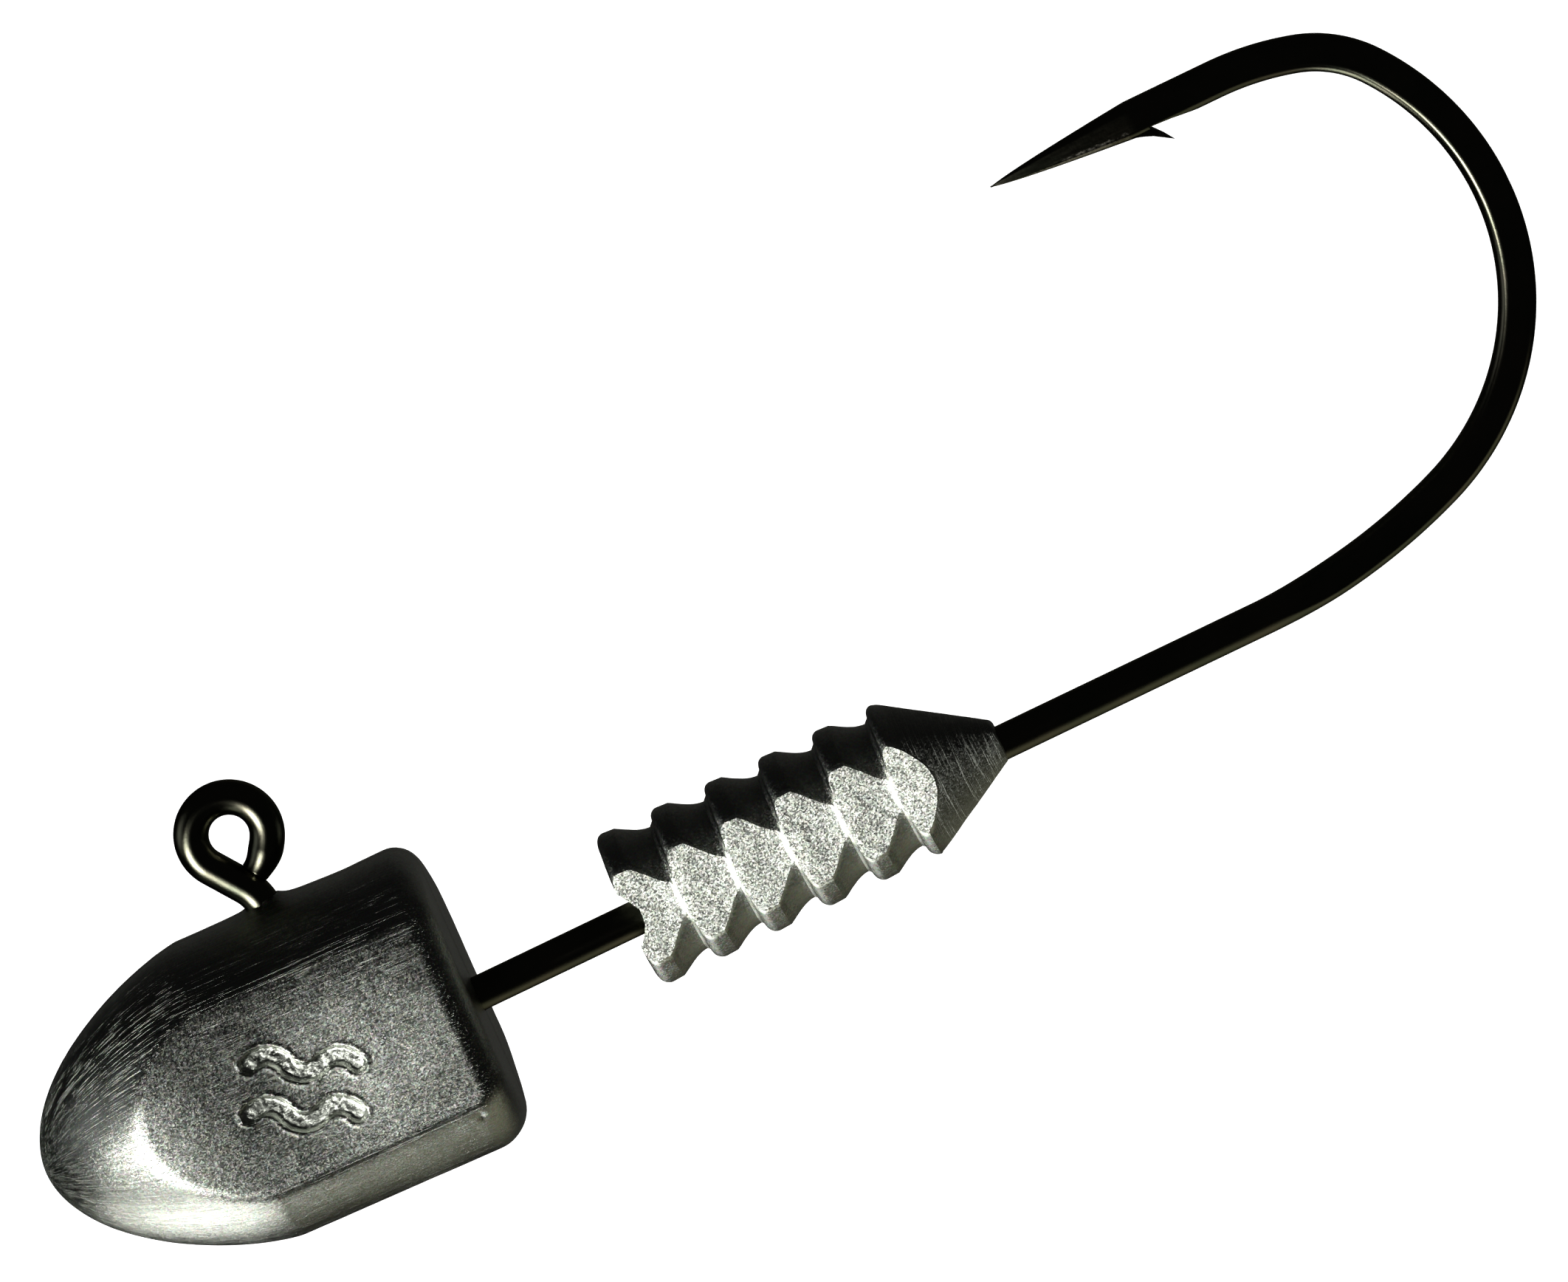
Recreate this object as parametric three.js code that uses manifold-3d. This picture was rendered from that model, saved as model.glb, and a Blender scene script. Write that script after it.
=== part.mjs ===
// A jig head: a lead weight and a ribbed lead keeper, both cast round one forged steel hook.
// Millimetres, +Z up. The part lies on one flat side of the weight. The shank runs along +X towards
// the bend, and the eye and the point are on the +Y side. The shapes are drawn about the shank's
// axis, with X = 0 at the weight's rear face and Z = 0 in the hook's middle plane, and the group
// at the end puts the origin under the middle of the whole part.

import * as THREE from 'three';
import { mergeVertices } from 'three/addons/utils/BufferGeometryUtils.js';
import Module from 'manifold-3d';

const degrees = THREE.MathUtils.degToRad;
const { clamp, lerp, smoothstep } = THREE.MathUtils;

// Hook wire
const wireDiameter = 1.5;
const castClearance = 0.05;

// Weight
const headLength = 19.7;
const headRadius = 6.75;
const flatCut = 1.25;
const headThickness = 2 * (headRadius - flatCut);
const noseLength = 9;
const noseTaper = 1.4;
const noseFullness = 0.52;
const headRise = 0.4;
const headTilt = degrees(1.9);
const rearCornerRadius = 1.2;
const flatEdgeBlend = 0.6;

// Stem, neck and eye. The neck starts just under the weight's surface, and the eye stands over it.
const stemSetback = 6.45;
const legBendRadius = 2.5;
const neckSink = 0.15;
const neckRadius = 2;
const neckTurn = degrees(35);
const eyeRadius = 1.6;
const eyeTurn = degrees(240);
const tailRadius = 2.6;
const tailTurn = degrees(34);
const tailClearance = 0.1;

// Shank, forged bend and point. The last arc brings the point parallel to the shank.
const shankLength = 36.3;
const bendArcs = [
  { radius: 26.4, turn: degrees(20.8) },
  { radius: 11.2, turn: degrees(106.6) },
  { radius: 5.2, turn: degrees(36.4) },
];
const throatRadius = 12.6;
const pointLength = 10.3;
const forgeLead = 4;
const forgeSpread = 0.12;
const forgeSquash = 0.28;
const taperLength = 6.5;
const taperPower = 0.75;
const tipScale = 0.04;

// Barb and the notch behind it. Places are measured back from the tip, and depths from the wire's
// inner edge.
const barbRootBack = 6.2;
const barbRootDepth = 0.11;
const barbTipBack = 7.8;
const barbHeight = 0.71;
const barbWidth = 0.7;
const notchStartBack = 7.05;
const notchEndBack = 9.3;
const notchDepth = 0.24;

// Keeper
const keeperStart = 7.15;
const keeperRise = 0.38;
const keeperThickness = 5.6;
const ribCount = 6;
const ribPitch = 2.5;
const ribRadius = 3.47;
const grooveRadius = 2.84;
const ribLand = 0.45;
const ribFace = 0.35;
const ribCorner = 0.25;
const dishDepth = 0.7;
const dishRim = 0.75;
const coneLength = 4.77;
const coneLand = 0.5;
const coneEndRise = 0.16;
const coneEndWall = 0.28;
const coneEndRound = 0.3;

// Generic mark sunk in the upper flat: wave strokes cut with a round tool
const markCentre = new THREE.Vector2(-7.9, 0.35);
const markSlant = degrees(-25);
const waveCount = 2;
const wavePitch = 2.1;
const waveRadius = 0.95;
const waveSwing = degrees(52);
const strokeWidth = 0.75;
const strokeDepth = 0.25;

// Facets
const wireSides = 12;
const headSides = 48;
const keeperSides = 36;
const arcSag = 0.012;
const cornerSteps = 3;
const noseSteps = 12;
const slopeSteps = 3;
const pointSteps = 14;

const wasm = await Module();
wasm.setup();

// The closed mesh as a solid, without the triangles that shrink to a line at a lathe's poles.
function toSolid(geometry) {
  const bare = geometry.clone();
  bare.deleteAttribute('normal');
  bare.deleteAttribute('uv');
  const welded = mergeVertices(bare);
  const corners = [];
  for (let i = 0; i < welded.index.count; i += 3) {
    const [a, b, c] = [0, 1, 2].map((k) => welded.index.getX(i + k));
    if (a !== b && b !== c && c !== a) {
      corners.push(a, b, c);
    }
  }
  return new wasm.Manifold(new wasm.Mesh({
    numProp: 3,
    vertProperties: new Float32Array(welded.attributes.position.array),
    triVerts: new Uint32Array(corners),
  }));
}

function toGeometry(solid) {
  const mesh = solid.getMesh();
  const indexed = new THREE.BufferGeometry();
  indexed.setAttribute('position', new THREE.BufferAttribute(mesh.vertProperties, 3));
  indexed.setIndex(new THREE.BufferAttribute(mesh.triVerts, 1));
  const geometry = indexed.toNonIndexed();
  geometry.computeVertexNormals();
  return geometry;
}

function moveVertices(geometry, move) {
  const positions = geometry.attributes.position;
  const vertex = new THREE.Vector3();
  for (let i = 0; i < positions.count; i += 1) {
    vertex.fromBufferAttribute(positions, i);
    move(vertex);
    positions.setXYZ(i, vertex.x, vertex.y, vertex.z);
  }
  return geometry;
}

function line(length, steps = 1) {
  return { length, turn: 0, steps };
}

function arc(radius, turn) {
  const widestStep = 2 * Math.acos(1 - arcSag / radius);
  const steps = Math.ceil(Math.abs(turn) / widestStep);
  return { length: radius * Math.abs(turn), turn, steps };
}

// Stations along tangent lines and arcs in the XY plane. A positive turn goes left.
function trace(start, moves) {
  const stations = [start];
  for (const move of moves) {
    const turn = move.turn / move.steps;
    const length = move.length / move.steps;
    const chord = turn === 0 ? length : (length * Math.sin(turn / 2)) / (turn / 2);
    for (let step = 0; step < move.steps; step += 1) {
      const last = stations.at(-1);
      const aim = last.heading + turn / 2;
      stations.push({
        x: last.x + chord * Math.cos(aim),
        y: last.y + chord * Math.sin(aim),
        heading: last.heading + turn,
        along: last.along + length,
      });
    }
  }
  return stations;
}

const rearFace = (heading) => ({ x: 0, y: 0, heading, along: 0 });

// Slides a point along a heading until it lies on an upright plane.
function slideTo(plane, heading, vertex) {
  const across = [Math.cos(plane.facing), Math.sin(plane.facing)];
  const reach = (plane.x - vertex.x) * across[0] + (plane.y - vertex.y) * across[1];
  const distance = reach / Math.cos(heading - plane.facing);
  vertex.x += distance * Math.cos(heading);
  vertex.y += distance * Math.sin(heading);
}

// A bar swept along the stations. The section gives its width in the path's plane and the
// thickness at which it is cut flat on both sides. A station may be mitred to a plane.
function sweep(stations, section) {
  const outline = new THREE.Shape();
  outline.absarc(0, 0, 0.5, 0, 2 * Math.PI, false);
  const bar = new THREE.ExtrudeGeometry(outline, {
    depth: stations.length - 1,
    steps: stations.length - 1,
    bevelEnabled: false,
    curveSegments: wireSides / 2,
  });
  return moveVertices(bar, (vertex) => {
    const station = stations[Math.round(vertex.z)];
    const { width, thickness } = section(station.along);
    const side = vertex.x * width;
    const lift = clamp(vertex.y * width, -thickness / 2, thickness / 2);
    vertex.set(
      station.x - side * Math.sin(station.heading),
      station.y + side * Math.cos(station.heading),
      lift,
    );
    if (station.mitre) {
      slideTo(station.mitre, station.heading, vertex);
    }
  });
}

const roundSection = (diameter) => () => ({ width: diameter, thickness: diameter });
const channelSection = roundSection(wireDiameter + 2 * castClearance);

// The weight's axis rises towards the nose, and its top line lies one radius above the axis.
const headTopY = (x) => headRise - x * Math.tan(headTilt) + headRadius / Math.cos(headTilt);

// From the weight's rear face forward to the leg bend, up the stem and round the neck.
function stemMoves() {
  const neckStart = headTopY(-stemSetback) - neckSink;
  const neckShift = neckRadius * (1 - Math.cos(neckTurn));
  const neckLength = (eyeRadius * Math.cos(neckTurn) - neckShift) / Math.sin(neckTurn);
  return [
    line(stemSetback - legBendRadius),
    arc(legBendRadius, -Math.PI / 2),
    line(neckStart - legBendRadius),
    arc(neckRadius, neckTurn),
    line(neckLength),
  ];
}

// The eye closes on the neck, where its end is cut parallel to the neck.
function eyeStations(neckEnd) {
  const stations = trace(neckEnd, [arc(eyeRadius, -eyeTurn), arc(tailRadius, -tailTurn)]);
  const facing = neckEnd.heading - Math.PI / 2;
  const offset = wireDiameter / 2 + tailClearance;
  stations.at(-1).mitre = {
    facing,
    x: neckEnd.x + offset * Math.cos(facing),
    y: neckEnd.y + offset * Math.sin(facing),
  };
  return stations.slice(1);
}

function hookStations() {
  const stem = trace(rearFace(Math.PI), stemMoves());
  const front = [...stem, ...eyeStations(stem.at(-1))].reverse().map((station) => ({
    ...station,
    heading: station.heading + Math.PI,
    along: -station.along,
  }));
  const throatTurn = bendArcs.reduce((turn, part) => turn - part.turn, Math.PI);
  const rear = trace(rearFace(2 * Math.PI), [
    line(shankLength),
    ...bendArcs.map((part) => arc(part.radius, part.turn)),
    arc(throatRadius, throatTurn),
    line(pointLength, pointSteps),
  ]);
  return [...front, ...rear.slice(1)];
}

// Round wire up to the bend, forged wider and flatter round it, and tapered to the tip.
function hookSection(tipAlong) {
  return (along) => {
    const forging = smoothstep(along, shankLength, shankLength + forgeLead);
    const taper = clamp((tipAlong - along) / taperLength, 0, 1) ** taperPower;
    const scale = Math.max(taper, tipScale);
    return {
      width: scale * (wireDiameter + forging * forgeSpread),
      thickness: scale * (wireDiameter - forging * forgeSquash),
    };
  };
}

// A prism at the inner edge of the point, centred in the hook's middle plane. Its corners are given
// as [back from the tip, depth into the wire].
function edgePrism(tip, corners, width) {
  const edge = (wireDiameter + forgeSpread) / 2;
  const outline = new THREE.Shape(corners.map(([back, depth]) => (
    new THREE.Vector2(tip.x + back, tip.y - edge + depth)
  )));
  const prism = new THREE.ExtrudeGeometry(outline, { depth: width, bevelEnabled: false });
  return toSolid(prism.translate(0, 0, -width / 2));
}

function makeBarb(tip) {
  return edgePrism(tip, [
    [barbRootBack, barbRootDepth],
    [barbTipBack, -barbHeight],
    [notchStartBack, notchDepth],
  ], barbWidth);
}

function makeNotch(tip) {
  return edgePrism(tip, [
    [notchStartBack, notchDepth],
    [notchStartBack, -barbHeight],
    [notchEndBack, -barbHeight],
    [notchEndBack, 0],
  ], 2 * wireDiameter);
}

function makeHook() {
  const stations = hookStations();
  const tip = stations.at(-1);
  const wire = toSolid(sweep(stations, hookSection(tip.along)));
  return toGeometry(wire.subtract(makeNotch(tip)).add(makeBarb(tip)));
}

// Points [along, radius] from one angle to another on a corner arc.
function cornerPoints(along, radius, size, from, to) {
  return Array.from({ length: cornerSteps + 1 }, (_, i) => {
    const angle = lerp(from, to, i / cornerSteps);
    return [along + size * Math.cos(angle), radius + size * Math.sin(angle)];
  });
}

// A solid turned about the X axis from points [along, radius], which start and end on the axis.
function turned(points, sides) {
  const profile = points.map(([along, radius]) => new THREE.Vector2(radius, along));
  return new THREE.LatheGeometry(profile, sides).rotateZ(-Math.PI / 2);
}

// Along the nose the radius grows fast at the tip and runs smoothly into the round barrel.
function headProfile() {
  const nose = Array.from({ length: noseSteps + 1 }, (_, i) => {
    const angle = (i / noseSteps) * (Math.PI / 2);
    return [
      -headLength + noseLength * (1 - Math.cos(angle)),
      headRadius * (1 - Math.cos(angle) ** noseTaper) ** noseFullness,
    ];
  });
  const corner = cornerPoints(
    -rearCornerRadius,
    headRadius - rearCornerRadius,
    rearCornerRadius,
    Math.PI / 2,
    0,
  );
  return [...nose, ...corner, [0, 0]];
}

// Presses the turned weight flat on both sides. The flats end in the same corner at the rear face
// as the round sides, and a soft blend joins them to the round sides.
function flattenHead(vertex) {
  const past = Math.max(vertex.x + rearCornerRadius, 0);
  const corner = rearCornerRadius - Math.sqrt(Math.max(rearCornerRadius ** 2 - past ** 2, 0));
  const flat = headThickness / 2 - corner;
  const height = Math.abs(vertex.z);
  const excess = clamp(height - flat + flatEdgeBlend, 0, 2 * flatEdgeBlend);
  const blended = Math.min(height, flat + flatEdgeBlend) - excess ** 2 / (4 * flatEdgeBlend);
  vertex.z = Math.sign(vertex.z) * blended;
}

// A round-bottomed wave stroke, cut into the upper flat to the stroke's depth.
function waveStroke(row) {
  const toolRadius = ((strokeWidth / 2) ** 2 + strokeDepth ** 2) / (2 * strokeDepth);
  const swing = 2 * waveSwing;
  const reach = 3 * waveRadius * Math.sin(waveSwing);
  const start = { x: -reach, y: (row - (waveCount - 1) / 2) * wavePitch, heading: waveSwing, along: 0 };
  const stations = trace(start, [
    arc(waveRadius, -swing),
    arc(waveRadius, swing),
    arc(waveRadius, -swing),
  ]);
  const stroke = sweep(stations, roundSection(2 * toolRadius));
  stroke.rotateZ(markSlant);
  stroke.translate(markCentre.x, markCentre.y, headThickness / 2 + toolRadius - strokeDepth);
  return toSolid(stroke);
}

function makeHead() {
  const body = moveVertices(turned(headProfile(), headSides), flattenHead);
  body.rotateZ(-headTilt).translate(0, headRise, 0);
  const overrun = wireDiameter;
  const channelStart = { ...rearFace(Math.PI), x: overrun };
  const channel = sweep(trace(channelStart, [line(overrun), ...stemMoves()]), channelSection);
  let solid = toSolid(body).subtract(toSolid(channel));
  for (let row = 0; row < waveCount; row += 1) {
    solid = solid.subtract(waveStroke(row));
  }
  return toGeometry(solid);
}

// One ratchet rib: a steep face towards the weight, a rounded crest and a slope to the next groove.
function ribPoints(index) {
  const face = keeperStart + index * ribPitch + ribCorner;
  const slopeStart = face + ribLand;
  const slopeLength = ribPitch - ribLand - ribFace;
  const slope = Array.from({ length: slopeSteps + 1 }, (_, i) => {
    const share = i / slopeSteps;
    const fall = Math.sin(share * (Math.PI / 2));
    return [slopeStart + share * slopeLength, lerp(ribRadius, grooveRadius, fall)];
  });
  return [...cornerPoints(face, ribRadius - ribCorner, ribCorner, Math.PI, Math.PI / 2), ...slope];
}

function keeperProfile() {
  const ribs = Array.from({ length: ribCount - 1 }, (_, index) => ribPoints(index)).flat();
  const coneStart = keeperStart + (ribCount - 1) * ribPitch;
  const coneEnd = coneStart + coneLength;
  const endRadius = wireDiameter / 2 + coneEndWall;
  return [
    [keeperStart + dishDepth, 0],
    [keeperStart + dishDepth, ribRadius - dishRim],
    ...ribs,
    ...cornerPoints(coneStart + ribCorner, ribRadius - ribCorner, ribCorner, Math.PI, Math.PI / 2),
    [coneStart + coneLand, ribRadius],
    ...cornerPoints(coneEnd - coneEndRound, endRadius - coneEndRound, coneEndRound, Math.PI / 3, 0),
    [coneEnd, 0],
  ];
}

// The ribbed part sits a little high on the shank, and the cone leads back down to it.
function raiseKeeper(vertex) {
  const coneStart = keeperStart + (ribCount - 1) * ribPitch;
  const share = clamp((vertex.x - coneStart) / coneLength, 0, 1);
  vertex.y += lerp(keeperRise, coneEndRise, share);
}

function makeKeeper() {
  const body = moveVertices(turned(keeperProfile(), keeperSides), raiseKeeper);
  const keeperLength = (ribCount - 1) * ribPitch + coneLength;
  const slab = new THREE.BoxGeometry(2 * keeperLength, 4 * ribRadius, keeperThickness);
  slab.translate(keeperStart + keeperLength / 2, 0, 0);
  const channel = sweep(trace(rearFace(0), [line(shankLength)]), channelSection);
  return toGeometry(toSolid(body).intersect(toSolid(slab)).subtract(toSolid(channel)));
}

function makeMesh(name, geometry, color, roughness, metalness) {
  const material = new THREE.MeshStandardMaterial({ color, roughness, metalness });
  const mesh = new THREE.Mesh(geometry, material);
  mesh.name = name;
  return mesh;
}

// The drawing is shifted so that the origin is under the middle of the part's box.
const drawing = new THREE.Group();
drawing.add(
  makeMesh('head', makeHead(), 0x6e6e6a, 0.45, 0.85),
  makeMesh('hook', makeHook(), 0x12130f, 0.25, 0.95),
  makeMesh('keeper', makeKeeper(), 0xa3a39c, 0.6, 0.75),
);
const box = new THREE.Box3().setFromObject(drawing);
const middle = box.getCenter(new THREE.Vector3());
drawing.position.set(-middle.x, -middle.y, -box.min.z);

const jigHead = new THREE.Group();
jigHead.add(drawing);

export default jigHead;
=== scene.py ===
import math

import bpy
import numpy as np
from mathutils import Matrix, Vector, noise


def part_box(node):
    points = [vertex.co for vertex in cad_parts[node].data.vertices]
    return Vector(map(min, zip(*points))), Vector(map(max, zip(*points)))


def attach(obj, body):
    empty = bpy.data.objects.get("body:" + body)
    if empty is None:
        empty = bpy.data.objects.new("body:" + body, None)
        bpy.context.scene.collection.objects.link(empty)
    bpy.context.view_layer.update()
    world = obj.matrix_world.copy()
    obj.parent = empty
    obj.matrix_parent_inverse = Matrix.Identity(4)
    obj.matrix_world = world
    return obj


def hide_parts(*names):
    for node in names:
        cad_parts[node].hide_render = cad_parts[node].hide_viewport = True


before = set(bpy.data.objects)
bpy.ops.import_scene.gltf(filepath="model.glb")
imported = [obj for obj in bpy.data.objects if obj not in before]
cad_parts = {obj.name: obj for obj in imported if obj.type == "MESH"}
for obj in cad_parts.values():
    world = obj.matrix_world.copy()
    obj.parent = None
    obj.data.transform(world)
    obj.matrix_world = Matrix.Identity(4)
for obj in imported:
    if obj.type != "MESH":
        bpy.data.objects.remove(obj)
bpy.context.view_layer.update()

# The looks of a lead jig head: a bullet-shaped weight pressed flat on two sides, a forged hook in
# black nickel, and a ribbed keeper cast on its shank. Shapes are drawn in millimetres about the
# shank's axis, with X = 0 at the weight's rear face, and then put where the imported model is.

MM = 0.001

# Hook wire
WIRE = 1.5
CAST_GRIP = 0.02

# Weight
HEAD_LENGTH = 19.7
HEAD_RADIUS = 6.75
FLAT_CUT = 1.25
HALF_THICK = HEAD_RADIUS - FLAT_CUT
NOSE_LENGTH = 9
NOSE_TAPER = 1.4
NOSE_FULLNESS = 0.52
HEAD_RISE = 0.4
HEAD_TILT = math.radians(1.9)
TOP_CORNER = 1.2
LOW_CORNER = 1.7
FRONT_BLEND = 0.2
FLAT_BLEND = 0.34
BLEND_CHANGE = (-13.5, -9.5)
# The upper flat falls towards the stem's side and the nose, and is dished round the mark.
CROWN = 0.029
FRONT_FALL = 0.11
DISH = 0.2
DISH_CENTRE = -7.5
DISH_REACH = 3.4
FRONT_FALL_START = -11
FRONT_FALL_LENGTH = 4
# What casting leaves: the mould's seam, waves, pits, and lead drawn up the stem
SEAM_HEIGHT = 0.035
SEAM_WIDTH = 0.13
CAST_WAVE = 0.03
CAST_PITS = 0.003
FLAT_SPAN = math.radians(42)
FACE_RINGS = 34
FILLET_BEHIND = 0.3
FILLET_AHEAD = 0.14
FILLET_REACH = 0.45
TOP_DIP = 0.05
TOP_DIP_AT = -3
TOP_DIP_LENGTH = 1.2
PIT_AT = (-1.75, -3.95)
PIT_DEPTH = 0.14
PIT_RADIUS = 0.16

# Stem, neck and eye
STEM_SETBACK = 6.45
LEG_BEND = 2.5
NECK_SINK = 0.15
NECK_RADIUS = 2
NECK_TURN = math.radians(35)
EYE_RADIUS = 1.6
EYE_TURN = math.radians(240)
TAIL_RADIUS = 2.6
TAIL_TURN = math.radians(39)
TAIL_CLEARANCE = 0.01
TAIL_LENGTH = 1.2
TAIL_SCALE = 0.8
TAIL_RINGS = 14
TAIL_RAGGED = 0.03
TAIL_SIDE = (-0.8, 2.5)

# Shank, forged bend and point
SHANK = 36.3
BENDS = [(26.4, math.radians(20.8)), (11.2, math.radians(106.6)), (5.2, math.radians(36.4))]
THROAT_RADIUS = 12.6
POINT_LENGTH = 10.3
FORGE_LEAD = 4
FORGE_SPREAD = 0.12
FORGE_SQUASH = 0.28
FORGE_EDGE = 0.09
TAPER_LENGTH = 6.5
TAPER_POWER = 0.75
TIP_SCALE = 0.04

# Barb and notch: corners measured back from the tip and into the wire, the barb's with widths
NOTCH_FRONT = (7.05, 0.24)
NOTCH_FLOOR = (8.0625, 0.17)
NOTCH_BACK = (9.3, 0.0)
BARB_TIP = (7.8, -0.71)
BARB = [
    ((6.2, 0.11), 0.8),
    ((6.65, -0.03), 0.8),
    ((7.05, -0.2), 0.7),
    ((7.45, -0.47), 0.45),
    (BARB_TIP, 0.22),
    ((7.5, -0.27), 0.4),
    ((7.25, 0.02), 0.62),
    (NOTCH_FRONT, 0.8),
]

# Wear to bare steel, as shares, and the lengths over which it fades
POINT_WEAR = 0.75
POINT_WEAR_SPAN = (4.5, 8.5)
BARB_WEAR = 0.62
TAIL_WEAR = 0.42
TAIL_WEAR_SPAN = (0.7, 2.2)

# Keeper
KEEPER_START = 7.15
KEEPER_RISE = 0.38
KEEPER_HALF = 2.8
RIBS = 6
RIB_PITCH = 2.5
RIB_RADIUS = 3.47
GROOVE_RADIUS = 2.84
RIB_LAND = 0.45
RIB_FACE = 0.35
TOP_RIB_CORNER = 0.36
LOW_RIB_CORNER = 0.5
DISH_DEPTH = 0.7
DISH_RIM = 0.75
DISH_RINGS = 14
CONE_LENGTH = 4.77
CONE_LAND = 0.5
CONE_END_RISE = 0.16
CONE_END_WALL = 0.28
CONE_END_ROUND = 0.3
CONE_CREST_BLEND = 0.15
RIB_RELIEF = 0.07
TOP_FACE_LEAN = 0.1
DISH_CRUMBLE = 0.05
KEEPER_LUMPS = 0.012
KEEPER_GRIT = 0.005
FLAT_DENTS = 0.012
# Painted shade on the keeper's rounded sides: the low crest's band is painted darkest, and the low
# sides are painted darker than the top sides.
PAINTED_SHADE_CREST_BAND = 0.22
LOW_SIDE_PAINTED_SHADE = 0.84
TOP_SIDE_PAINTED_SHADE = 0.7

# Generic wave mark sunk in the upper flat
MARK_CENTRE = (-7.9, 0.35)
MARK_SLANT = math.radians(-25)
WAVE_COUNT = 2
WAVE_PITCH = 2.1
WAVE_RADIUS = 0.95
WAVE_SWING = math.radians(52)
STROKE_FLOOR = 0.29
STROKE_EDGE = 0.43
STROKE_DEPTH = 0.25
STROKE_CRUMBS = 0.035
MARK_LIP = 0.035
LIP_OFFSET = 0.05
LIP_WIDTH = 0.07

# Camera: where it stands over the part, what it looks at, and how the picture is turned
EYE = (48, 90, 600)
TARGET = (18.05, 7.87, 0)
PICTURE_TURN = math.radians(25.76)
PICTURE_WIDTH = 65.65
SENSOR = 36

# Lights: name, direction from the part, distance, disc size, irradiance and colour
LIGHTS = [
    ("key", (-0.680, -0.223, 0.697), 700, 90, 1.0 * math.pi, (1.0, 1.0, 0.96)),
    ("nose_fill", (-0.60, -0.79, -0.12), 450, 260, 0.44 * math.pi, (1.0, 1.0, 0.95)),
    ("table_glow", (0.25, -0.95, -0.15), 450, 520, 0.10 * math.pi, (1.0, 0.98, 0.72)),
    ("left_sheen", (-0.93, 0.32, 0.16), 450, 240, 0.036 * math.pi, (0.96, 1.0, 1.0)),
    ("table_shine", (0.2, 0.05, -0.97), 140, 240, 0.03 * math.pi, (1.0, 1.0, 0.9)),
]
ROOM_STRENGTH = 0.008
BACKDROP_STRENGTH = 1.0

# Floor: half its side, and how far it lies under the part
FLOOR_HALF = 4000
FLOOR_DROP = 150

head_low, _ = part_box("head")
keeper_low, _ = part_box("keeper")
hook_low, hook_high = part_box("hook")
ORIGIN = np.array([
    keeper_low.x - KEEPER_START * MM,
    hook_low.y + WIRE / 2 * MM,
    (hook_low.z + hook_high.z) / 2,
])


# ---------------------------------------------------------------- small helpers

def lerp(a, b, share):
    return a + (b - a) * share


def smooth(value, low, high):
    share = np.clip((value - low) / (high - low), 0, 1)
    return share * share * (3 - 2 * share)


def soft_limit(value, limit, blend):
    """The value held under a limit, with a rounded change that is two blends wide."""
    excess = np.clip(value - limit + blend, 0, 2 * blend)
    return np.minimum(value, limit + blend) - excess ** 2 / (4 * blend)


def rough(points, size, octaves=3, seed=0.0):
    """Fractal noise, about -1 to 1, whose largest lumps have the given size."""
    shift = Vector((seed, seed * 1.7, seed * 2.3))
    return np.array([
        noise.fractal(Vector(p) / size + shift, 1.0, 2.0, octaves) for p in points.reshape(-1, 3)
    ]).reshape(points.shape[:-1])


def grid_normals(rings):
    """Unit normals of a grid of rings, by its own steps along and around."""
    along = np.gradient(rings, axis=0)
    around = (np.roll(rings, -1, axis=1) - np.roll(rings, 1, axis=1)) / 2
    normals = np.cross(around, along)
    length = np.linalg.norm(normals, axis=-1, keepdims=True)
    normals = normals / np.maximum(length, 1e-9)
    outward = np.sum(normals * (rings - rings.mean(axis=1, keepdims=True)), axis=-1)
    return normals if np.sum(outward) > 0 else -normals


def place(x, y, z):
    return Vector(ORIGIN + np.array([x, y, z]) * MM)


# ---------------------------------------------------------------- mesh making

def closed_faces(count, around):
    index = np.arange(count * around).reshape(count, around)
    beside = np.roll(index, -1, axis=1)
    walls = np.stack([index[:-1], beside[:-1], beside[1:], index[1:]], axis=-1).reshape(-1, 4)
    first, last = count * around, count * around + 1
    caps = [[first, b, a] for a, b in zip(index[0], beside[0])]
    caps += [[last, a, b] for a, b in zip(index[-1], beside[-1])]
    return walls.tolist() + caps


def make_object(name, points, faces):
    mesh = bpy.data.meshes.new(name)
    mesh.from_pydata(points.tolist(), [], faces)
    made = bpy.data.objects.new(name, mesh)
    bpy.context.scene.collection.objects.link(made)
    return made


def solid(name, rings):
    """A closed mesh from rings of points. Each end closes on its own middle."""
    count, around = rings.shape[:2]
    points = np.vstack([rings.reshape(-1, 3), rings[0].mean(0), rings[-1].mean(0)])
    made = make_object(name, points, closed_faces(count, around))
    if volume_of(made) < 0:
        made.data.flip_normals()
    return made


def volume_of(item):
    mesh = item.data
    points = np.empty(len(mesh.vertices) * 3)
    mesh.vertices.foreach_get("co", points)
    points = points.reshape(-1, 3)
    mesh.calc_loop_triangles()
    corners = np.empty(len(mesh.loop_triangles) * 3, dtype=np.int32)
    mesh.loop_triangles.foreach_get("vertices", corners)
    a, b, c = (points[corners.reshape(-1, 3)[:, i]] for i in range(3))
    return float(np.sum(a * np.cross(b, c))) / 6


def combine(item, other, operation):
    """Cuts or joins with another closed mesh, which is used up."""
    modifier = item.modifiers.new(operation, "BOOLEAN")
    modifier.operation = operation
    modifier.solver = "MANIFOLD"
    modifier.object = other
    graph = bpy.context.evaluated_depsgraph_get()
    mesh = bpy.data.meshes.new_from_object(item.evaluated_get(graph))
    item.modifiers.clear()
    item.data = mesh
    bpy.data.objects.remove(other)
    return item


def points_of(item):
    points = np.empty(len(item.data.vertices) * 3)
    item.data.vertices.foreach_get("co", points)
    return points.reshape(-1, 3)


def set_attribute(item, name, values):
    values = np.asarray(values, dtype=np.float32)
    kind, field = ("FLOAT_VECTOR", "vector") if values.ndim == 2 else ("FLOAT", "value")
    item.data.attributes.new(name, kind, "POINT").data.foreach_set(field, values.ravel())


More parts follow.
